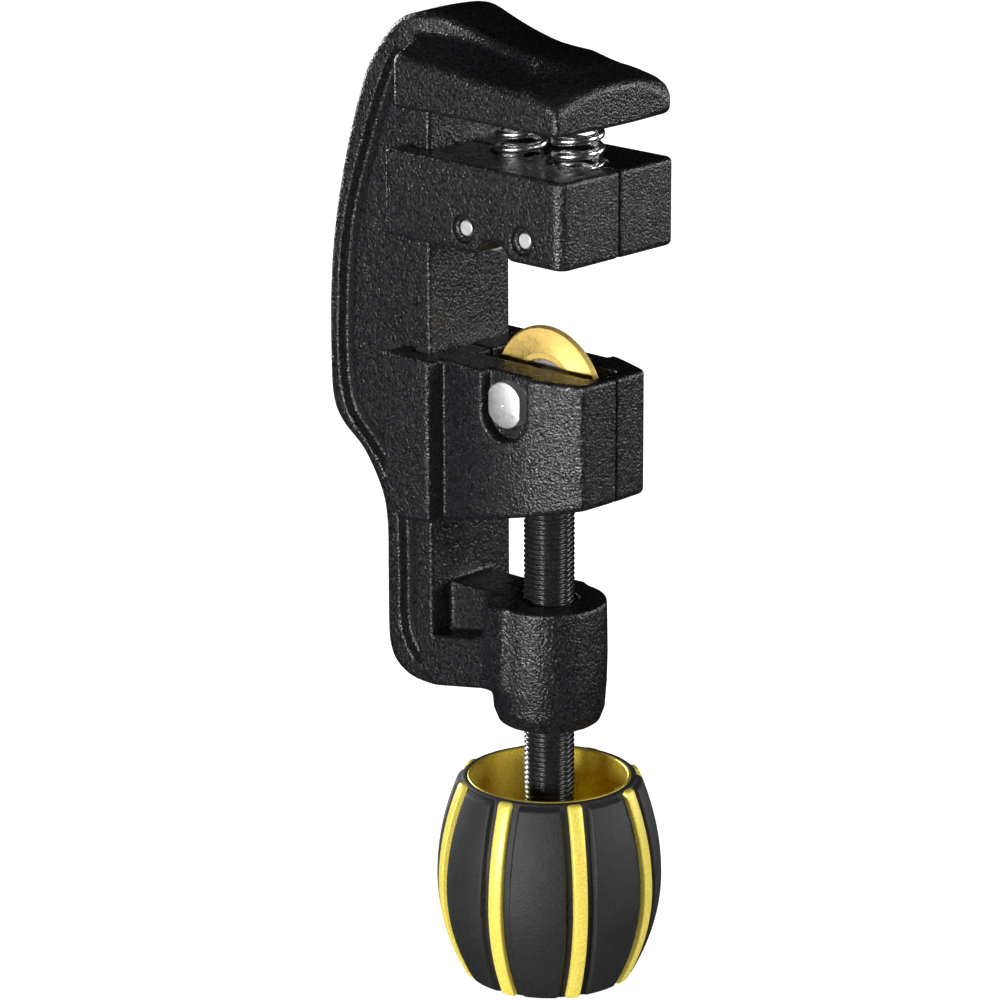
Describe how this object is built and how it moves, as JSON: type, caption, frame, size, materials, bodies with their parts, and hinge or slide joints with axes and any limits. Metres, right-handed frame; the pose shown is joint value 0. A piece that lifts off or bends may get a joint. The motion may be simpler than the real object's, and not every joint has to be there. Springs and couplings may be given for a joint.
{
  "type": "tubing cutter",
  "caption": "Adjustable tubing cutter: a cast C-frame with a T-rail, a sprung roller block, a screw-driven carriage with a cutting wheel, and a ribbed barrel knob.",
  "frame": {"origin": "centre of the knob's flat base, on the feed screw's axis", "axes": "+Z along the feed screw from the knob to the head, +X from the spine to the open front of the throat, +Y along the tube that is cut"},
  "size_m": [0.0722, 0.0436, 0.1895],
  "materials": {
    "casting": "textured black powder coat",
    "bush_brass": "machined",
    "spring_steel": "bright",
    "roller_steel": "polished",
    "pin_steel": "bright machined",
    "wheel_gold": "gold coating, satin",
    "screw_black": "black oxide, oiled",
    "knob_yellow": "metallic yellow, fine grain",
    "knob_black": "matte soft grip"
  },
  "bodies": {
    "frame_body": {"frame": "casting", "thread_bush": "bush_brass", "stop_pin": "pin_steel", "front_spring": "spring_steel", "rear_spring": "spring_steel"},
    "roller_block": {"roller_block_near": "casting", "roller_block_far": "casting", "front_roller_pin": "pin_steel", "rear_roller_pin": "pin_steel"},
    "front_roller_body": {"front_roller": "roller_steel"},
    "rear_roller_body": {"rear_roller": "roller_steel"},
    "carriage": {"carriage_near": "casting", "carriage_far": "casting", "carriage_dowels": "pin_steel", "wheel_axle": "pin_steel", "near_spacer": "pin_steel", "far_spacer": "pin_steel"},
    "wheel": {"cutting_wheel": "wheel_gold", "wheel_bush": "roller_steel"},
    "spindle": {"feed_screw": "screw_black", "thrust_collar": "pin_steel", "collar_pin": "pin_steel", "knob_core": "knob_yellow", "knob_grip": "knob_black", "knob_pin": "pin_steel", "knob_cap": "knob_black"}
  },
  "joints": [
    {"name": "carriage_slide", "type": "slide", "parent": "frame_body", "child": "carriage", "axis": [0, 0, 1], "range_m": [-0.0135, 0.0145]},
    {"name": "spindle_turn", "type": "hinge", "parent": "carriage", "child": "spindle", "pos_m": [0, 0, 0.02], "axis": [0, 0, 1], "range_deg": [-4870, 5230]},
    {"name": "wheel_spin", "type": "hinge", "parent": "carriage", "child": "wheel", "pos_m": [0, 0, 0.1175], "axis": [0, 1, 0], "continuous": true},
    {"name": "block_slide", "type": "slide", "parent": "frame_body", "child": "roller_block", "axis": [0, 0, 1], "range_m": [0, 0.0055], "stiffness_N_per_m": 8000, "springref_m": -0.006, "deforming": ["front_spring", "rear_spring"]},
    {"name": "front_roller_spin", "type": "hinge", "parent": "roller_block", "child": "front_roller_body", "pos_m": [0.00745, 0, 0.1514], "axis": [0, 1, 0], "continuous": true},
    {"name": "rear_roller_spin", "type": "hinge", "parent": "roller_block", "child": "rear_roller_body", "pos_m": [-0.00745, 0, 0.1514], "axis": [0, 1, 0], "continuous": true}
  ],
  "couplings": [
    {"joint": "spindle_turn", "follows": "carriage_slide", "rad_per_m": 6283.2}
  ]
}
